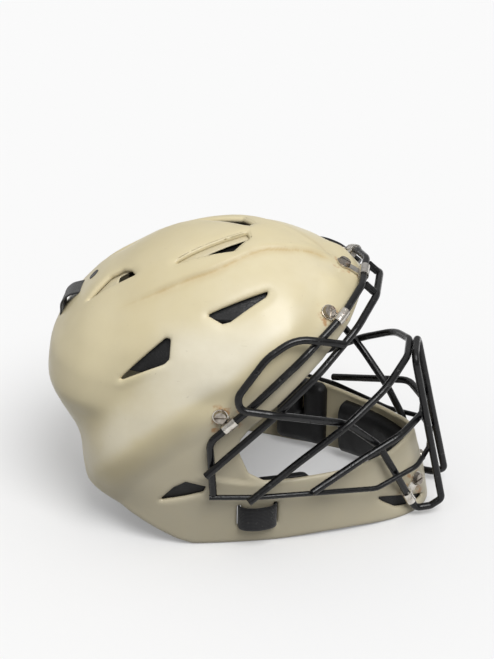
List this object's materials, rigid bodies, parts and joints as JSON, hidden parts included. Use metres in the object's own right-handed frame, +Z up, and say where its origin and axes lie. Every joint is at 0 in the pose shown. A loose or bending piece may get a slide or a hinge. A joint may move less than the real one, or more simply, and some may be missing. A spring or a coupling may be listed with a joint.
{
  "type": "catcher helmet",
  "caption": "Hockey-style catcher helmet: vented hard shell with a welded wire face cage on screwed clips, inner pads and a sprung rear plate on elastic straps.",
  "frame": {"origin": "middle of the whole helmet's box, on the surface that it rests on", "axes": "+X the way the helmet faces, +Y its left side, +Z up, resting on the edge of its jaw guard"},
  "size_m": [0.3228, 0.2394, 0.236],
  "materials": {
    "shell": "satin, scuffed",
    "cage": "vinyl dipped, worn",
    "clip": "nickel plate with rust",
    "screw": "plated, part rusted",
    "pad": "vinyl-skinned foam",
    "webbing": "woven elastic",
    "anchor": "matt black"
  },
  "bodies": {
    "helmet": {"cage_rim_bar": "cage", "cage_jaw_bar": "cage", "cage_brow_bar": "cage", "cage_mid_bar": "cage", "cage_lower_bar": "cage", "cage_ridge_bar": "cage", "cage_eye_bar_right": "cage", "cage_eye_bar_left": "cage", "cage_forehead_links": "cage", "clip_forehead": "clip", "clip_temple_right": "clip", "clip_temple_left": "clip", "clip_cheek_right": "clip", "clip_cheek_left": "clip", "clip_chin_right": "clip", "clip_chin_left": "clip", "clip_screws": "screw", "clip_nuts": "screw", "shell": "shell", "forehead_pad": "pad", "crown_pad": "pad", "temple_pad_right": "pad", "temple_pad_left": "pad", "ear_pad_right": "pad", "ear_pad_left": "pad", "side_pad_right": "pad", "side_pad_left": "pad", "upper_pad_right": "pad", "upper_pad_left": "pad", "cheek_pad_right": "pad", "cheek_pad_left": "pad", "jaw_pad_right": "pad", "jaw_pad_left": "pad", "chin_pad": "pad", "top_strap": "webbing", "side_strap_right": "webbing", "side_strap_left": "webbing", "jaw_loop_right": "webbing", "jaw_loop_left": "webbing", "shell_anchors": "anchor"},
    "rear_plate": {"rear_plate": "shell", "rear_pad": "pad", "plate_anchors": "anchor"}
  },
  "joints": [
    {"name": "rear_plate_slide", "type": "slide", "parent": "helmet", "child": "rear_plate", "axis": [-1, 0, 0], "range_m": [0, 0.022], "stiffness_N_per_m": 300, "deforming": ["top_strap", "side_strap_right", "side_strap_left"]}
  ]
}
